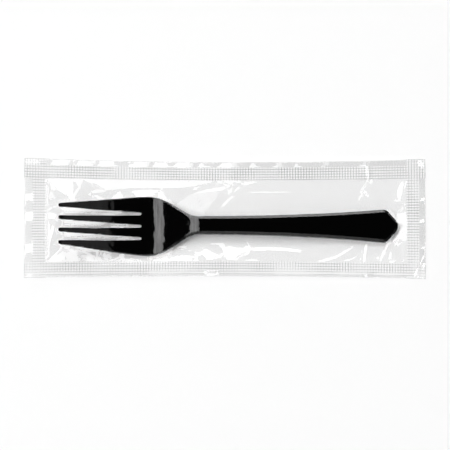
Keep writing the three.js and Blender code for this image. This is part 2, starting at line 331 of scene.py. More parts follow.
def wall_box(name, turn, rise, height, width, radiance):
    """Softbox at the wall that faces the pouch, turned about +Z from +X and raised, both in degrees."""
    lamp = area_lamp(name, height, width, radiance)
    turn, rise = math.radians(turn), math.radians(rise)
    away = Vector((math.cos(turn) * math.cos(rise), math.sin(turn) * math.cos(rise), math.sin(rise)))
    lamp.location = away * WALL_DISTANCE
    lamp.rotation_euler = away.to_track_quat("Z", "X").to_euler()
    return lamp


def ceiling_panel(name, x_angles, y_angles, radiance):
    """Panel at the ceiling that spans angles in degrees from straight up, as the fork's head sees it."""
    head_x = (FORK_X + DIP_AT) * MM
    x0, x1 = (head_x + CEILING_HEIGHT * math.tan(math.radians(angle)) for angle in x_angles)
    y0, y1 = (CEILING_HEIGHT * math.tan(math.radians(angle)) for angle in y_angles)
    lamp = area_lamp(name, x1 - x0, y1 - y0, radiance)
    lamp.location = ((x0 + x1) / 2, (y0 + y1) / 2, CEILING_HEIGHT)
    return lamp


def studio_light():
    """Three soft lamps light the table; cards for the gloss alone hang overhead and stand at the walls."""
    cards = [
        ceiling_panel("middle_card", (-23.2, -7.5), (-4, 21), 3.3),
        ceiling_panel("back_card", (-20, 15), (38, 62), 2.6),
        ceiling_panel("back_left_card", (-40, -15), (18, 33), 5.0),
        ceiling_panel("soft_card", (-15, -4), (29, 38), 1.2),
        ceiling_panel("slot_card", (22, 45), (20, 37), 5.6),
        ceiling_panel("slot_front_card", (21, 45), (-44, -9), 4.5),
        ceiling_panel("front_card", (-40, 25), (-45.5, -34), 4.6),
        ceiling_panel("front_left_card", (-40, -20), (-34, -10), 4.5),
        ceiling_panel("bevel_card", (-30, 20), (-60, -46), 0.55),
        ceiling_panel("handle_card", (26.1, 45), (-10, 25), 0.32),
        wall_box("back_strip", 90, 19, 2.0, 3.2, 3.6),
        wall_box("front_strip", 270, 19, 2.2, 6.4, 4.5),
        wall_box("tine_strip", 180, 15, 1.6, 4.4, 5.5),
    ]
    for card in cards:
        card.visible_diffuse = False
    lamps = [
        wall_box("tine_lamp", 184, 54, 2.4, 2.4, 10.0),
        wall_box("back_lamp", 95, 61, 2.2, 2.8, 7.0),
        wall_box("top_lamp", 270, 82, 2.0, 2.0, 5.4),
    ]
    for lamp in lamps:
        lamp.visible_glossy = False
    world = bpy.data.worlds.new("room")
    world.use_nodes = True
    tree = world.node_tree
    tree.nodes.clear()
    place = add_node(tree, "ShaderNodeTexCoord")
    height = add_node(tree, "ShaderNodeSeparateXYZ", _0=place.outputs["Generated"])
    ramp = add_node(tree, "ShaderNodeValToRGB", _0=height.outputs["Z"])
    elements = ramp.color_ramp.elements
    while len(elements) < len(ROOM_GREYS):
        elements.new(0.5)
    for element, (position, grey) in zip(elements, ROOM_GREYS):
        element.position = position
        element.color = (grey, grey, grey, 1)
    light = add_node(tree, "ShaderNodeBackground", Color=ramp.outputs["Color"], Strength=1.0)
    add_node(tree, "ShaderNodeOutputWorld", Surface=light.outputs["Background"])
    bpy.context.scene.world = world


def studio_floor():
    """Table top under the pouch, in matt white paint that only scatters light."""
    bpy.ops.object.select_all(action="DESELECT")
    bpy.ops.mesh.primitive_plane_add(size=FLOOR_SIZE, location=(0, 0, -FLOOR_DROP))
    floor = bpy.context.object
    floor.name = "floor"
    material, tree = new_material("white_table_paint")
    paint = add_node(tree, "ShaderNodeBsdfDiffuse", Color=linear("#FCFCFC"))
    add_node(tree, "ShaderNodeOutputMaterial", Surface=paint.outputs[0])
    floor.data.materials.append(material)


# Fork
def fork_outline(columns):
    """Half width of the fork at each column, without the rounding of its tine tips."""
    tip_half = (3 * TINE_PITCH + TINE_TIP_WIDTH) / 2
    head_half, neck_half, end_half = HEAD_WIDTH / 2, NECK_WIDTH / 2, HANDLE_END_WIDTH / 2
    share = CORNER_ROUND / math.hypot(POINT_LENGTH, end_half - POINT_ROUND)
    corner = (lerp(POINT_AT, FORK_LENGTH, share), lerp(end_half, POINT_ROUND, share))
    nose = (lerp(FORK_LENGTH, POINT_AT, share), lerp(POINT_ROUND, end_half, share))
    flare_end = POINT_AT - CORNER_ROUND
    # A hair past the end, so that the places along the curve keep rising
    past_end = FORK_LENGTH + 0.001
    points = np.vstack([
        np.array([[0, tip_half]]),
        bezier((0, tip_half),
               (HEAD_LENGTH * TINE_EDGE_START, lerp(tip_half, head_half, TINE_EDGE_START)),
               (HEAD_LENGTH * (1 - TINE_EDGE_END), head_half), (HEAD_LENGTH, head_half)),
        bezier((HEAD_LENGTH, head_half), (HEAD_LENGTH + SHOULDER_LENGTH * SHOULDER_START, head_half),
               (NECK_AT - SHOULDER_LENGTH * SHOULDER_END, neck_half), (NECK_AT, neck_half)),
        bezier((NECK_AT, neck_half), (lerp(NECK_AT, flare_end, FLARE_START), neck_half),
               (flare_end, end_half)),
        bezier((flare_end, end_half), (POINT_AT, end_half), corner),
        np.array([nose]),
        bezier(nose, (FORK_LENGTH, POINT_ROUND), (past_end, POINT_ROUND * NOSE_FLAT)),
    ])
    return np.interp(columns, points[:, 0], points[:, 1])


def fork_underside(x):
    tip_slope = -TIP_STEEPNESS * TIP_LIFT / DIP_AT
    tines = ease_between(x, 0, TIP_LIFT, tip_slope, DIP_AT, 0, 0)
    shoulder = ease_between(x, DIP_AT, 0, 0, CREST_AT, CREST_LIFT, 0)
    end_slope = -END_STEEPNESS * CREST_LIFT / (FORK_LENGTH - CREST_AT)
    handle = ease_between(x, CREST_AT, CREST_LIFT, 0, FORK_LENGTH, 0, end_slope)
    return np.where(x < DIP_AT, tines, np.where(x < CREST_AT, shoulder, handle))


def fork_depth(x):
    tines = lerp(TIP_THICKNESS, HEAD_THICKNESS, np.clip(x / DIP_AT, 0, 1))
    shoulder = lerp(HEAD_THICKNESS, NECK_DEPTH, smooth((x - DIP_AT) / (CREST_AT - DIP_AT)))
    handle = lerp(NECK_DEPTH, HANDLE_END_DEPTH, (x - CREST_AT) / (FORK_LENGTH - CREST_AT))
    return np.where(x < DIP_AT, tines, np.where(x < CREST_AT, shoulder, handle))


def end_round(distance, radius, flat):
    """Share of its full width that a rounded end has at a distance from its tip, with a small flat."""
    inward = np.clip(1 - distance / radius, 0, 1)
    return np.sqrt(flat**2 + (1 - flat**2) * (1 - inward**2))


def fork_rows(x, half):
    """Places of the rows from the middle of the fork to its edge, and the width of its bevel."""
    widening = smooth((x - HEAD_LENGTH) / BEVEL_RAMP)
    bevel = np.minimum(lerp(HEAD_BEVEL, HANDLE_BEVEL, widening), half / 2)
    mouth, root = (TINE_PITCH - TINE_TIP_WIDTH) / 2, SLOT_ROOT_WIDTH / 2
    slot = lerp(mouth, root, np.clip(x / TINE_LENGTH, 0, 1))
    slot = slot * end_round(TINE_LENGTH - x, root, SLOT_FLAT)
    tip = end_round(x, TINE_TIP_WIDTH / 2, TIP_FLAT)
    edges = []
    for low, high in ((slot, TINE_PITCH - slot), (TINE_PITCH + slot, half)):
        middle, reach = (low + high) / 2, (high - low) / 2 * tip
        edges += [middle - reach, middle, middle + reach]
    outer_bevel = np.minimum(bevel, (edges[5] - edges[3]) / 3)
    outer_flat = edges[5] - outer_bevel
    tines = [np.zeros_like(x), edges[0], edges[1], edges[2], np.full_like(x, TINE_PITCH), edges[3],
             (edges[3] + outer_flat) / 2, outer_flat, edges[5]]
    handle = [share * (half - bevel) for share in TOP_SHARES] + [half]
    blend = smooth((x - TINE_LENGTH) / (NECK_AT - TINE_LENGTH))
    return np.array([lerp(a, b, blend) for a, b in zip(tines, handle)]), bevel


def black_polystyrene():
    """Polystyrene, injection moulded in a polished mould: near black, with a clear reflection.

    The reflection wavers where the skin sank as it cooled, and flow streaks make it uneven.
    """
    material, tree = new_material("black_polystyrene")
    place = add_node(tree, "ShaderNodeTexCoord").outputs["Object"]
    sink_mm, flow_mm, waver_mm, streak_mm = 9.0, 2.2, 2.6, (0.8, 12.0)
    sink_depth_mm, waver_depth_mm = 0.25, 0.05
    roughness, mirror_level = (0.03, 0.07), (0.36, 0.62)
    streak_scale = (1 / (streak_mm[0] * MM), 1 / (streak_mm[1] * MM), 0)
    sink = add_node(tree, "ShaderNodeTexNoise", Vector=place, Scale=1 / (sink_mm * MM), Detail=2.0)
    flow = add_node(tree, "ShaderNodeTexNoise", Vector=place, Scale=1 / (flow_mm * MM), Detail=4.0)
    gloss = add_node(tree, "ShaderNodeMapRange", _0=flow.outputs["Fac"], _3=roughness[0], _4=roughness[1])
    skin = add_node(tree, "ShaderNodeTexNoise", Vector=place, Scale=1 / (waver_mm * MM), Detail=0.0)
    waver = add_node(tree, "ShaderNodeBump", Strength=1.0, Distance=waver_depth_mm * MM,
                     Height=skin.outputs["Fac"])
    ripple = add_node(tree, "ShaderNodeBump", Strength=0.25, Distance=sink_depth_mm * MM,
                      Height=sink.outputs["Fac"], Normal=waver.outputs[0])
    stretch = add_node(tree, "ShaderNodeMapping", Vector=place, Scale=streak_scale)
    streak = add_node(tree, "ShaderNodeTexNoise", Vector=stretch.outputs[0], Scale=1.0, Detail=1.0)
    mirror = add_node(tree, "ShaderNodeMapRange", _0=streak.outputs["Fac"],
                      _1=0.3, _2=0.7, _3=mirror_level[0], _4=mirror_level[1])
    shade = add_node(tree, "ShaderNodeMix", {"data_type": "RGBA"}, Factor=flow.outputs["Fac"],
                     _6=linear("#020202"), _7=linear("#040404"))
    plastic = add_node(tree, "ShaderNodeBsdfPrincipled", Base_Color=shade.outputs[2], IOR=1.59,
                       Roughness=gloss.outputs[0], Specular_IOR_Level=mirror.outputs[0],
                       Normal=ripple.outputs[0])
    add_node(tree, "ShaderNodeOutputMaterial", Surface=plastic.outputs[0])
    return material


def make_fork():
    """Fork as one moulding: a flat grid loses its slots, gets depth and is laid to outline and curve."""
    root = SLOT_ROOT_WIDTH / 2
    # Columns along the fork, closer together where tine tips, slots and the handle's point are round
    columns = np.concatenate([
        [0, 0.06, 0.2, 0.42, 0.7, 1.0],
        np.linspace(2, TINE_LENGTH - 1.2, 36),
        TINE_LENGTH - root * np.array([1, 0.75, 0.5, 0.28, 0.1, 0]),
        np.linspace(TINE_LENGTH + 0.6, NECK_AT, 46),
        np.linspace(NECK_AT + 1, POINT_AT - CORNER_ROUND - 0.5, 72),
        np.linspace(POINT_AT - CORNER_ROUND, FORK_LENGTH - 1.2, 18),
        FORK_LENGTH - np.array([0.85, 0.55, 0.32, 0.15, 0.05, 0]),
    ])
    root_column = int(np.argmin(abs(columns - TINE_LENGTH)))
    middle_row = EDGE_ROW
    fork = unit_grid("moulded_fork", len(columns) - 1, 2 * middle_row)
    bpy.ops.object.mode_set(mode="EDIT")
    bpy.ops.mesh.select_mode(type="FACE")
    bpy.ops.mesh.select_all(action="DESELECT")
    bpy.ops.object.mode_set(mode="OBJECT")
    for face in fork.data.polygons:
        across = abs(face.center.y - middle_row)
        in_slot = across < MIDDLE_SLOT_END or OUTER_SLOT[0] < across < OUTER_SLOT[1]
        face.select = bool(in_slot and face.center.x < root_column)
    bpy.ops.object.mode_set(mode="EDIT")
    bpy.ops.mesh.delete(type="FACE")
    bpy.ops.object.mode_set(mode="OBJECT")
    apply_modifier(fork, "SOLIDIFY", thickness=1, offset=-1)

    half = fork_outline(columns)
    rows, bevel = fork_rows(columns, half)
    under, depth = fork_underside(columns), fork_depth(columns)
    top = under + depth
    wall = np.minimum(WALL_THICKNESS, half * WALL_SHARE)
    start = smooth((columns - CREST_AT) / HOLLOW_RAMP)
    finish = smooth((FORK_LENGTH - 2 * WALL_THICKNESS - columns) / HOLLOW_RAMP)
    hollow = start * finish
    widening = smooth((columns - HEAD_LENGTH) / SHOULDER_LENGTH)
    inner = half - wall - WALL_DRAFT
    low_rows = rows.copy()
    low_rows[WALL_ROW] = lerp(rows[WALL_ROW], half - wall, widening)
    for row, share in enumerate(HOLLOW_SHARES, start=1):
        low_rows[row] = lerp(rows[row], share * inner, widening)

    grid = vertex_places(fork)
    i = np.rint(grid[:, 0]).astype(int)
    j = np.rint(grid[:, 1]).astype(int) - middle_row
    k = abs(j)
    is_top = grid[:, 2] > -0.5
    x = columns[i]
    y = np.where(is_top, rows[k, i], low_rows[k, i]) * np.sign(j)
    drop = np.where(k == EDGE_ROW, np.minimum(bevel * BEVEL_SLOPE, depth / 2)[i], 0)
    roof = np.where(k <= ROOF_ROW, hollow[i] * (depth[i] - PLATE_THICKNESS), 0)
    z = np.where(is_top, top[i] - drop, under[i] + roof)
    set_vertex_places(fork, np.stack([x + FORK_X, y + FORK_Y, z + FORK_Z], axis=1))

    apply_modifier(fork, "BEVEL", width=EDGE_ROUND * MM, segments=3, limit_method="ANGLE",
                   angle_limit=math.radians(EDGE_ANGLE))
    bpy.ops.object.shade_smooth()
    apply_modifier(fork, "WEIGHTED_NORMAL")
    fork.data.materials.clear()
    fork.data.materials.append(black_polystyrene())
    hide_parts("fork")
    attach(fork, "root")
    return fork


# Creases of the upper film: the points of each line, in window shares along and across, with their
# lift over the tight film
CREASES = [
    [(0.002, 1.003, 0), (0.034, 0.853, 0.2), (0.072, 0.748, 0)],
    [(0.002, 1.003, 0), (0.013, 0.867, 0.4), (0.026, 0.740, -0.5)],
    [(0.075, 1.011, 0), (0.074, 0.883, -0.6), (0.072, 0.748, 0)],
    [(0.101, 1.014, 0), (0.092, 0.894, 0.45), (0.072, 0.748, 0)],
    [(0.005, 0.928, 0.8), (0.006, 0.768, 1.4), (0.006, 0.728, 0.5), (0.006, 0.655, 0.5),
     (0.006, 0.634, 1.4), (0.006, 0.599, 1.4), (0.006, 0.582, 0.5), (0.006, 0.498, 0.5),
     (0.006, 0.472, 1.4), (0.006, 0.179, 1.4), (0.006, 0.040, 0.9)],
    [(0.056, -0.001, 0.9), (0.094, -0.002, 0.9), (0.136, -0.001, 0.8), (0.169, -0.001, 0.5)],
    [(0.003, -0.016, 0), (0.043, 0.148, 0)],
    [(0.056, -0.015, 0), (0.067, 0.133, 0)],
    [(0.111, 0.819, 0.3), (0.172, 0.852, 0.9), (0.205, 0.868, 1.25), (0.233, 0.877, 1.45),
     (0.316, 0.887, 1.4), (0.374, 0.894, 1.2), (0.415, 0.922, 0.7), (0.440, 0.956, 0.2)],
    [(0.399, 0.840, -0.25), (0.498, 0.912, -0.1)],
    [(0.537, 1.010, 0), (0.521, 0.931, 0.25), (0.507, 0.800, 0.1)],
    [(1.000, 1.009, 0), (0.990, 0.868, 0.95), (0.984, 0.734, 1.15), (0.986, 0.651, 0.2)],
    [(0.989, 1.010, 0), (0.972, 0.871, -0.1), (0.962, 0.737, 0)],
    [(0.974, 0.433, 0), (1.000, 0.583, 0)],
    [(0.974, 0.433, 0), (1.000, 0.236, 0)],
    [(0.975, 0.409, 0), (0.977, 0.266, 0.3), (0.989, 0.001, 0)],
    [(0.282, 0.034, 0.3), (0.316, 0.056, 0.65), (0.357, 0.068, 0.7), (0.390, 0.073, 0.65),
     (0.415, 0.054, 0.45)],
    [(0.410, 0.131, 0), (0.424, -0.010, 0)],
    [(0.429, 0.049, 0), (0.429, 0.096, 0.2), (0.439, 0.154, 0.45), (0.454, 0.119, 0.25),
     (0.482, 0.069, 0)],
    [(0.433, -0.010, 0), (0.449, 0.027, -0.08), (0.482, 0.069, 0)],
    [(0.440, -0.010, -0.1), (0.454, 0.013, -0.2), (0.485, 0.050, -0.2)],
    [(0.435, 0.195, 0.1), (0.454, 0.230, 0.1), (0.485, 0.219, -0.15), (0.490, 0.144, -0.25),
     (0.493, 0.062, -0.3), (0.496, 0.003, -0.1)],
    [(0.492, 0.205, 0.28), (0.515, 0.189, 0.55), (0.522, 0.162, 0.6), (0.558, 0.116, 0),
     (0.537, 0.079, 0.08), (0.526, 0.050, -0.05), (0.516, 0.012, -0.05)],
    [(0.492, 0.205, 0.28), (0.496, 0.166, 0.32), (0.498, 0.096, 0.2), (0.501, 0.011, -0.05)],
    [(0.562, 0.098, -0.15), (0.541, 0.059, -0.3), (0.530, 0.028, -0.25), (0.522, -0.003, -0.1)],
    [(0.568, 0.179, 0), (0.570, 0.050, 0)],
]

# Crumpled places: from and to in window shares, number of random points, and the most that one lifts
CRUMPLES = [
    (0.050, -0.006, 0.169, 0.143, 18, 0.9),
    (0.460, 0.879, 0.554, 1.023, 22, 0.45),
    (0.106, 0.805, 0.141, 0.979, 8, 0.45),
    (0.936, 0.005, 0.997, 0.224, 12, 0.3),
    (0.172, -0.013, 0.288, 0.052, 14, 0.35),
]

# Narrow streaks: rise, reach to each side, and the line that each follows in window shares
STREAKS = [
    (0.35, 1.2, [(0.025, 0.384), (0.015, 0.245), (0.009, 0.141)]),
    (0.22, 1.5, [(0.576, 0.165), (0.604, 0.174), (0.653, 0.169), (0.703, 0.147)]),
    (0.3, 1.2, [(0.548, 0.237), (0.559, 0.178)]),
    (0.32, 1.4, [(0.753, 0.013), (0.800, 0.074), (0.831, 0.151), (0.842, 0.181)]),
    (0.25, 1.0, [(0.825, 0.028), (0.847, 0.052), (0.864, 0.106)]),
    (0.4, 1.25, [(0.875, 0.012), (0.878, 0.117), (0.882, 0.211)]),
    (0.4, 1.4, [(0.921, 0.027), (0.932, 0.138)]),
    (0.4, 1.4, [(0.958, 0.005), (0.958, 0.111)]),
    (0.35, 1.2, [(0.991, 0.007), (0.997, 0.079)]),
    (0.25, 1.0, [(0.972, 0.219), (0.986, 0.078)]),
    (0.45, 1.4, [(0.897, 1.017), (0.894, 0.948), (0.880, 0.874), (0.878, 0.836), (0.886, 0.804),
     (0.872, 0.767)]),
    (0.8, 1.7, [(0.969, 0.241), (0.987, 0.337)]),
    (1.0, 1.7, [(0.980, 0.571), (0.997, 0.658)]),
    (0.3, 1.1, [(0.493, 0.656), (0.515, 0.767)]),
    (0.3, 1.0, [(0.141, 0.026), (0.160, 0.129)]),
    (0.15, 0.9, [(0.446, 0.225), (0.487, 0.218)]),
    (0.3, 1.1, [(0.366, 0.156), (0.399, 0.142), (0.424, 0.107)]),
    (0.4, 1.3, [(0.507, 0.930), (0.526, 0.996)]),
    (0.07, 1.2, [(0.565, 0.828), (0.828, 0.838)]),
]

# Bends of the seals, given in the same way
SEAL_FOLDS = [
    (0.3, 1.5, [(0.901, 1.267), (0.894, 1.171), (0.897, 1.029)]),
    (0.7, 1.6, [(0.446, -0.143), (0.471, -0.138)]),
    (0.3, 1.3, [(0.889, -0.173), (0.901, -0.148)]),
    (0.45, 1.5, [(1.027, -0.156), (1.036, -0.060), (1.050, 0.072)]),
]

# Other corners of the upper film's facets: along the seals, just past the window; along the fork, just
# inside its edge; and in the slots, where the film sags. Crumples sink less than they lift
SEAL_CORNERS = 16
PAST_END = 0.003
PAST_SIDE = 0.01
FORK_STEP = 7.5
INSIDE_EDGE = 0.5
SLOT_STEP = 4.5
SLOT_SAG = (0.3, 0.9)
CRUMPLE_RANGE = (-0.7, 1)


def film_places():
    """Plan of a film's nodes in millimetres: the long edges draw in towards the middle."""
    along = np.linspace(-POUCH_LENGTH / 2, POUCH_LENGTH / 2, FILM_COLUMNS + 1)
    across = np.linspace(-POUCH_WIDTH / 2, POUCH_WIDTH / 2, FILM_ROWS + 1)
    x, y = np.meshgrid(along, across, indexing="ij")
    bow = np.where(y > 0, BACK_BOW, FRONT_BOW)
    drawn = y - bow * y / (POUCH_WIDTH / 2) * (1 - (2 * x / POUCH_LENGTH) ** 2)
    return x, y, drawn


def heights_met(tree, x, y, way=-1):
    """Height of the first surface that each node meets from above (way -1) or below (way 1).

    Where there is none, the height is endless, down or up.
    """
    heights = np.full(x.shape, way * np.inf)
    for index in np.ndindex(x.shape):
        hit = tree.ray_cast(Vector((x[index] * MM, y[index] * MM, -way)), Vector((0, 0, way)))[0]
        if hit is not None:
            heights[index] = hit.z / MM
    return heights


def neighbours(values):
    padded = np.pad(values, 1, mode="edge")
    return padded[2:, 1:-1], padded[:-2, 1:-1], padded[1:-1, 2:], padded[1:-1, :-2]


def settle(heights, passes, held=False, floor=-np.inf):
    """Pulls a film tight: a node not held goes to the mean of its neighbours, never under its floor."""
    for _ in range(passes):
        heights = np.where(held, heights, np.maximum(sum(neighbours(heights)) / 4, floor))
    return heights


def fold(x, y, line, rise, reach):
    """Rise of a sharp fold along a line, with straight slopes on both sides."""
    away = np.full(x.shape, np.inf)
    for (x0, y0), (x1, y1) in zip(line, line[1:]):
        share = ((x - x0) * (x1 - x0) + (y - y0) * (y1 - y0)) / ((x1 - x0) ** 2 + (y1 - y0) ** 2)
        share = np.clip(share, 0, 1)
        away = np.minimum(away, np.hypot(x - lerp(x0, x1, share), y - lerp(y0, y1, share)))
    return rise * np.maximum(0, 1 - away / reach)


def window_place(u, v):
    return WINDOW_X + u * WINDOW_LENGTH, WINDOW_Y + v * WINDOW_WIDTH


def folded(heights, x, y, folds):
    """Heights with folds added, each given by its rise, its reach and its line in window shares."""
    for rise, reach, line in folds:
        heights = heights + fold(x, y, [window_place(u, v) for u, v in line], rise, reach)
    return heights


def undrawn(x, y):
    """Place across the film, before its long edges drew in, of a place in plan."""
    bow = BACK_BOW if y > 0 else FRONT_BOW
    return y / (1 - bow / (POUCH_WIDTH / 2) * (1 - (2 * x / POUCH_LENGTH) ** 2))


def creased(x, y, tight):
    """Film as flat facets between its creases, the seals and the edges of the fork."""
    lines = [[(*window_place(u, v), lift) for u, v, lift in line] for line in CREASES]
    for share in np.linspace(0, 1, SEAL_CORNERS):
        lines += [[(*window_place(share, v), 0)] for v in (-PAST_SIDE, 1 + PAST_SIDE)]
        lines += [[(*window_place(u, share), 0)] for u in (-PAST_END, 1 + PAST_END)]
    stations = np.arange(1, FORK_LENGTH, FORK_STEP)
    for station, half in zip(stations, fork_outline(stations) - INSIDE_EDGE):
        for side in (-1, 1):
            across = FORK_Y + side * half
            lines.append([(FORK_X + station, undrawn(FORK_X + station, across), 0)])
    chance = np.random.RandomState(FACET_SEED)
    mouth, root = (TINE_PITCH - TINE_TIP_WIDTH) / 2, SLOT_ROOT_WIDTH / 2
    for station in np.arange(2, TINE_LENGTH, SLOT_STEP):
        half = lerp(mouth, root, station / TINE_LENGTH)
        for middle in (-TINE_PITCH, 0, TINE_PITCH):
            sag = chance.uniform(*SLOT_SAG)
            for across, lift in ((middle - half, 0), (middle, -sag), (middle + half, 0)):
                lines.append([(FORK_X + station, undrawn(FORK_X + station, FORK_Y + across), lift)])
    for u0, v0, u1, v1, count, lift in CRUMPLES:
        for _ in range(count):
            place = window_place(chance.uniform(u0, u1), chance.uniform(v0, v1))
            lines.append([(*place, lift * chance.uniform(*CRUMPLE_RANGE))])
    points = [point for line in lines for point in line]
    edges = []
    first = 0
    for line in lines:
        edges += [(first + k, first + k + 1) for k in range(len(line) - 1)]
        first += len(line)
    plan = [Vector(point[:2]) for point in points]
    whole_hull, merge_distance = 0, 0.01
    places, _, facets, origins, _, _ = delaunay_2d_cdt(plan, edges, [], whole_hull, merge_distance)
    corners = []
    for place, origin in zip(places, origins):
        column = round(np.clip(place.x / POUCH_LENGTH + 0.5, 0, 1) * FILM_COLUMNS)
        row = round(np.clip(place.y / POUCH_WIDTH + 0.5, 0, 1) * FILM_ROWS)
        lift = points[origin[0]][2] if origin else 0
        corners.append(Vector((place.x, place.y, tight[column, row] + lift)) * MM)
    return heights_met(BVHTree.FromPolygons(corners, facets), x, y)


def seal_depth(x, y):
    """How far each node lies in each seal, from the seal's inner edge outwards; negative before it."""
    tine = WINDOW_X - x
    handle = x - WINDOW_X - WINDOW_LENGTH
    front = WINDOW_Y - y
    back = y - WINDOW_Y - WINDOW_WIDTH
    return tine, handle, front, back


def waffle_strips(x, y):
    """Whether the knurled jaws pressed each node."""
    tine, handle, front, back = seal_depth(x, y)
    pressed = np.zeros_like(x, bool)
    for depth, seal, margin in ((tine, TINE_SEAL, TINE_MARGIN), (handle, HANDLE_SEAL, HANDLE_MARGIN),
                                (front, FRONT_SEAL, FRONT_MARGIN), (back, BACK_SEAL, BACK_MARGIN)):
        pressed |= (depth > 0) & (depth < seal - margin)
    return pressed | (np.maximum(tine, handle) > 0) & (np.maximum(front, back) > 0)


def patches(shape, seed):
    """Soft random patches from 0 to 1, some ten millimetres across."""
    contrast = 1.2
    field = settle(np.random.RandomState(seed).uniform(-1, 1, shape), PATCH_PASSES)
    return smooth(0.5 + contrast * field / field.std())


def zigzag(places, seed):
    """Heights from 0 to 1 along an edge: long straight rises with short falls between them."""
    chance = np.random.RandomState(seed)
    rise_lengths, fall_lengths = (5, 12), (2.5, 5)
    crests, valleys = (0.6, 1), (0, 0.3)
    knots, levels = [places.min()], [0.0]
    while knots[-1] < places.max():
        rise, fall = chance.uniform(*rise_lengths), chance.uniform(*fall_lengths)
        knots += [knots[-1] + rise, knots[-1] + rise + fall]
        levels += [chance.uniform(*crests), chance.uniform(*valleys)]
    return np.interp(places, knots, levels)


def margin_ripple(x, y):
    """Flutter and droop of the plain margins outside the waffle, which the jaws left slack."""
    tine, handle, _, back = seal_depth(x, y)
    along = x / POUCH_LENGTH + 0.5
    back_flutter, back_droop = lerp(*BACK_FLUTTER, along), lerp(*BACK_DROOP, along)
    ripple = np.zeros_like(x)
    sides = ((tine, TINE_SEAL, TINE_MARGIN, y, TINE_FLUTTER, TINE_DROOP, TINE_FLUTTER_SEED),
             (back, BACK_SEAL, BACK_MARGIN, x, back_flutter, back_droop, BACK_FLUTTER_SEED),
             (handle, HANDLE_SEAL, HANDLE_MARGIN, y, HANDLE_FLUTTER, HANDLE_DROOP, HANDLE_FLUTTER_SEED))
    for depth, seal, margin, places, flutter, droop, seed in sides:
        share = np.clip((depth - seal + margin + FLUTTER_OVERLAP) / (margin + FLUTTER_OVERLAP), 0, 1)
        ripple += share * (flutter * (zigzag(places, seed) - 0.5) - droop)
    return ripple


def clear_film():
    """Cast polypropylene film: clear, with a sharp reflection wherever it lies free of the fork.

    The weld mirrors less than the free film, and painted shade greys the lines of the jaws, the cut edges
    and the plain seals.
    """
    groove_reach = 0.55
    crinkle_mm, crinkle_depth_mm = 5.0, 0.3
    weld_mirror = 0.35
    mirror_ahead, mirror_rise, rise_power = 0.036, 0.97, 5.0
    material, tree = new_material("clear_polypropylene_film")
    place = add_node(tree, "ShaderNodeTexCoord").outputs["Object"]
    weld = add_node(tree, "ShaderNodeAttribute", {"attribute_name": "weld"}).outputs["Fac"]
    # Strength of the painted shade along the jaws' grid lines, one set for each way across the film
    lines = []
    for way in ("column", "row"):
        count = add_node(tree, "ShaderNodeAttribute", {"attribute_name": way}).outputs["Fac"]
        shown = add_node(tree, "ShaderNodeAttribute", {"attribute_name": way + "_shown"}).outputs["Fac"]
        off_line = add_node(tree, "ShaderNodeMath", {"operation": "PINGPONG"}, _0=count, _1=1.0)
        line = add_node(tree, "ShaderNodeMapRange", {"interpolation_type": "SMOOTHSTEP"},
                        _0=off_line.outputs[0], _1=0.0, _2=groove_reach, _3=1.0, _4=0.0)
        strength = add_node(tree, "ShaderNodeMath", {"operation": "MULTIPLY"},
                            _0=line.outputs[0], _1=shown)
        lines.append(strength.outputs[0])
    grid = add_node(tree, "ShaderNodeMath", {"operation": "ADD"}, _0=lines[0], _1=lines[1])
    cut = add_node(tree, "ShaderNodeAttribute", {"attribute_name": "cut"}).outputs["Fac"]
    groove = add_node(tree, "ShaderNodeMath", {"operation": "ADD"}, _0=grid.outputs[0], _1=cut)
    crinkle = add_node(tree, "ShaderNodeTexNoise", Vector=place, Scale=1 / (crinkle_mm * MM), Detail=3.0)
    bump = add_node(tree, "ShaderNodeBump", Strength=0.12, Distance=crinkle_depth_mm * MM,
                    Height=crinkle.outputs["Fac"])
    edge_on = add_node(tree, "ShaderNodeLayerWeight", Blend=0.5, Normal=bump.outputs[0])
    power = add_node(tree, "ShaderNodeMath", {"operation": "POWER"},
                     _0=edge_on.outputs["Facing"], _1=rise_power)
    fresnel = add_node(tree, "ShaderNodeMath", {"operation": "MULTIPLY_ADD"}, _0=power.outputs[0],
                       _1=mirror_rise, _2=mirror_ahead)
    faces = add_node(tree, "ShaderNodeMapRange", _0=weld, _3=1.0, _4=weld_mirror)
    free = add_node(tree, "ShaderNodeAttribute", {"attribute_name": "free"}).outputs["Fac"]
    share = add_node(tree, "ShaderNodeMath", {"operation": "MULTIPLY"}, _0=faces.outputs[0], _1=free)
    mirror = add_node(tree, "ShaderNodeMath", {"operation": "MULTIPLY"},
                      _0=fresnel.outputs[0], _1=share.outputs[0])
    # Painted shade: the film lets less light through along the jaws' lines, its cut edges and the plain
    # seals
    painted_shade_colour = add_node(tree, "ShaderNodeMix", {"data_type": "RGBA"}, _0=groove.outputs[0],
                    _6=linear("#FFFFFF"), _7=linear("#EAEAEA"))
    through = add_node(tree, "ShaderNodeBsdfTransparent", Color=painted_shade_colour.outputs[2])
    gloss = add_node(tree, "ShaderNodeBsdfGlossy", Color=linear("#FFFFFF"), Roughness=0.035,
                     Normal=bump.outputs[0])
    face = add_node(tree, "ShaderNodeMixShader", _0=mirror.outputs[0], _1=through.outputs[0],
                    _2=gloss.outputs[0])
    add_node(tree, "ShaderNodeOutputMaterial", Surface=face.outputs[0])
    return material


def film_piece(name, x, y, heights, marks, material):
    """Film of even thickness through a grid of nodes, with what the jaws left in it as attributes."""
    film = unit_grid(name, FILM_COLUMNS, FILM_ROWS)
    grid = vertex_places(film)
    i, j = np.rint(grid[:, 0]).astype(int), np.rint(grid[:, 1]).astype(int)
    set_vertex_places(film, np.stack([x[i, j], y[i, j], heights[i, j]], axis=1))
    for mark, strength in marks.items():
        attribute = film.data.attributes.new(mark, "FLOAT", "POINT")
        attribute.data.foreach_set("value", strength[i, j].astype(np.float32))
    only(film)
    bpy.ops.object.shade_smooth()
    apply_modifier(film, "SOLIDIFY", thickness=FILM * MM, offset=0)
    film.data.materials.clear()
    film.data.materials.append(material)
    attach(film, "root")
    return film


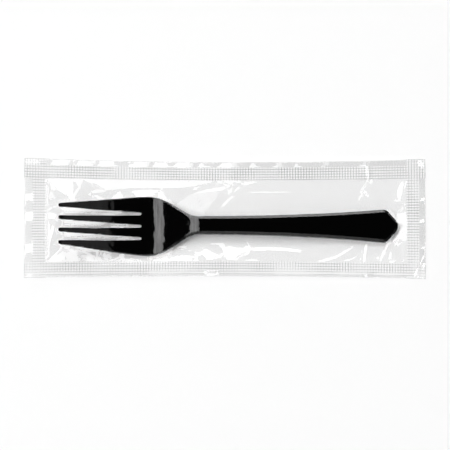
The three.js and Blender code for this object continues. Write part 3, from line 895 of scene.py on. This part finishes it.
def weld_heights(x, y, solid, pressed, bends):
    """Weld of the webs: waved as the solid is, slack at its margins, waffled by the jaws and bent."""
    column, row = np.indices(x.shape)
    peaks = pressed & (column % 2 == 1) & (row % 2 == 1)
    return settle(solid, WELD_PASSES) + margin_ripple(x, y) + WAFFLE_HEIGHT * peaks + bends


def upper_heights(x, y, touch, start, in_seal):
    """Upper web: drawn tight over the fork from where it starts, then faceted between its creases.

    Along the handle its facets are eased, because the film lies close there.
    """
    around = [touch, *neighbours(touch)]
    on_fork = np.minimum.reduce(around) > touch - FORK_EDGE_DROP
    behind_head = x > FORK_X + HEAD_LENGTH
    floor = np.where(behind_head | on_fork, touch, np.maximum.reduce(around))
    held = in_seal | on_fork
    tight = settle(np.where(on_fork, floor, start), UPPER_PASSES, held=held, floor=floor)
    facets = folded(creased(x, y, tight), x, y, STREAKS)
    upper = np.where(held, tight, np.maximum(facets, floor))
    near = np.isfinite(touch)
    for _ in range(NEAR_NODES):
        near = np.logical_or.reduce([near, *neighbours(near)])
    eased = settle(upper, NEAR_PASSES, held=in_seal, floor=floor)
    return np.where(near & behind_head, eased, upper)


def lower_heights(roof, start, in_seal):
    """Lower web: drawn tight from where it starts, under the fork and over the table."""
    roof = np.minimum.reduce([roof, *neighbours(roof)])
    lower = -settle(-start, LOWER_PASSES, held=in_seal, floor=-roof)
    return np.maximum(lower, FILM / 2)


def film_marks(x, y, touch, in_seal, pressed, bends):
    """What the film's material reads at each node, above all where and how strongly painted shade marks the
    jaws' grid.
    """
    column, row = np.indices(x.shape)
    front, back = seal_depth(x, y)[2:]
    along = x / POUCH_LENGTH + 0.5
    # Painted shade along the jaws' grid lines, weaker in the front seal
    grid_shade = pressed * lerp(*GRID_SHADE, along) * np.where(front > 0, FRONT_GRID_SHADE, 1)
    # Painted shade in the plain seals, stronger towards the handle end
    plain_seal_shade = in_seal * ~pressed * lerp(*PLAIN_SEAL_SHADE, along)
    # The grid's painted shade fades out in patches near the front edge
    fade_patches = np.maximum(patches(x.shape, FADE_SEED) - FRONT_FADE, 0)
    faded = np.where(front > FRONT_FADE_FROM, fade_patches, 1)
    at_ends = np.where((front < 0) & (back < 0), END_COLUMN_SHADE, 1)
    column_shade = grid_shade * faded * lerp(FAINTEST_GRID_SHADE, 1, patches(x.shape, COLUMN_SEED)) * at_ends
    row_shade = grid_shade * lerp(FAINTEST_GRID_SHADE, 1, patches(x.shape, ROW_SEED))
    on_edge = (column % FILM_COLUMNS == 0) | (row % FILM_ROWS == 0)
    # The cut mark carries painted shade along the cut edges and in the plain seals
    return {"weld": pressed & (bends == 0), "column": column, "row": row, "free": ~np.isfinite(touch),
            "cut": np.maximum(CUT_EDGE * on_edge, plain_seal_shade),
            "column_shown": column_shade, "row_shown": row_shade}


def make_films(fork):
    """Both webs: welded in the seals, the upper one drawn over the fork, the lower one under it."""
    depsgraph = bpy.context.evaluated_depsgraph_get()
    x, y, drawn = film_places()
    # A hair inside the edge, so that each ray down meets the solid
    inset = 0.9995
    solid_heights = {}
    for name in ("upper_film", "lower_film"):
        solid_tree = BVHTree.FromObject(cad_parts[name], depsgraph)
        solid_heights[name] = heights_met(solid_tree, x * inset, drawn * inset)
    fork_tree = BVHTree.FromObject(fork, depsgraph)
    touch = heights_met(fork_tree, x, drawn) + FILM_CLEARANCE
    roof = heights_met(fork_tree, x, drawn, way=1) - FILM_CLEARANCE
    in_seal = np.maximum.reduce(seal_depth(x, y)) >= 0
    pressed = waffle_strips(x, y)
    bends = folded(np.zeros_like(x), x, y, SEAL_FOLDS)
    weld = weld_heights(x, y, solid_heights["lower_film"], pressed, bends)
    offset = (FILM + WELD_GAP) / 2
    upper_start = np.where(in_seal, weld + offset, solid_heights["upper_film"] - CAD_FILM)
    upper = upper_heights(x, y, touch, upper_start, in_seal)
    lower_start = np.where(in_seal, weld, solid_heights["lower_film"]) - offset
    lower = lower_heights(roof, lower_start, in_seal)
    marks = film_marks(x, y, touch, in_seal, pressed, bends)
    material = clear_film()
    upper_film = film_piece("upper_web", x, drawn, upper, marks, material)
    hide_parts("upper_film")
    lower_film = film_piece("lower_web", x, drawn, lower, marks, material)
    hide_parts("lower_film")


# A ray at a low angle passes many faces of the two films
FACES_PASSED = 16
bpy.context.scene.view_settings.view_transform = "Standard"
bpy.context.scene.cycles.transparent_max_bounces = FACES_PASSED
studio_camera()
studio_light()
studio_floor()
make_films(make_fork())
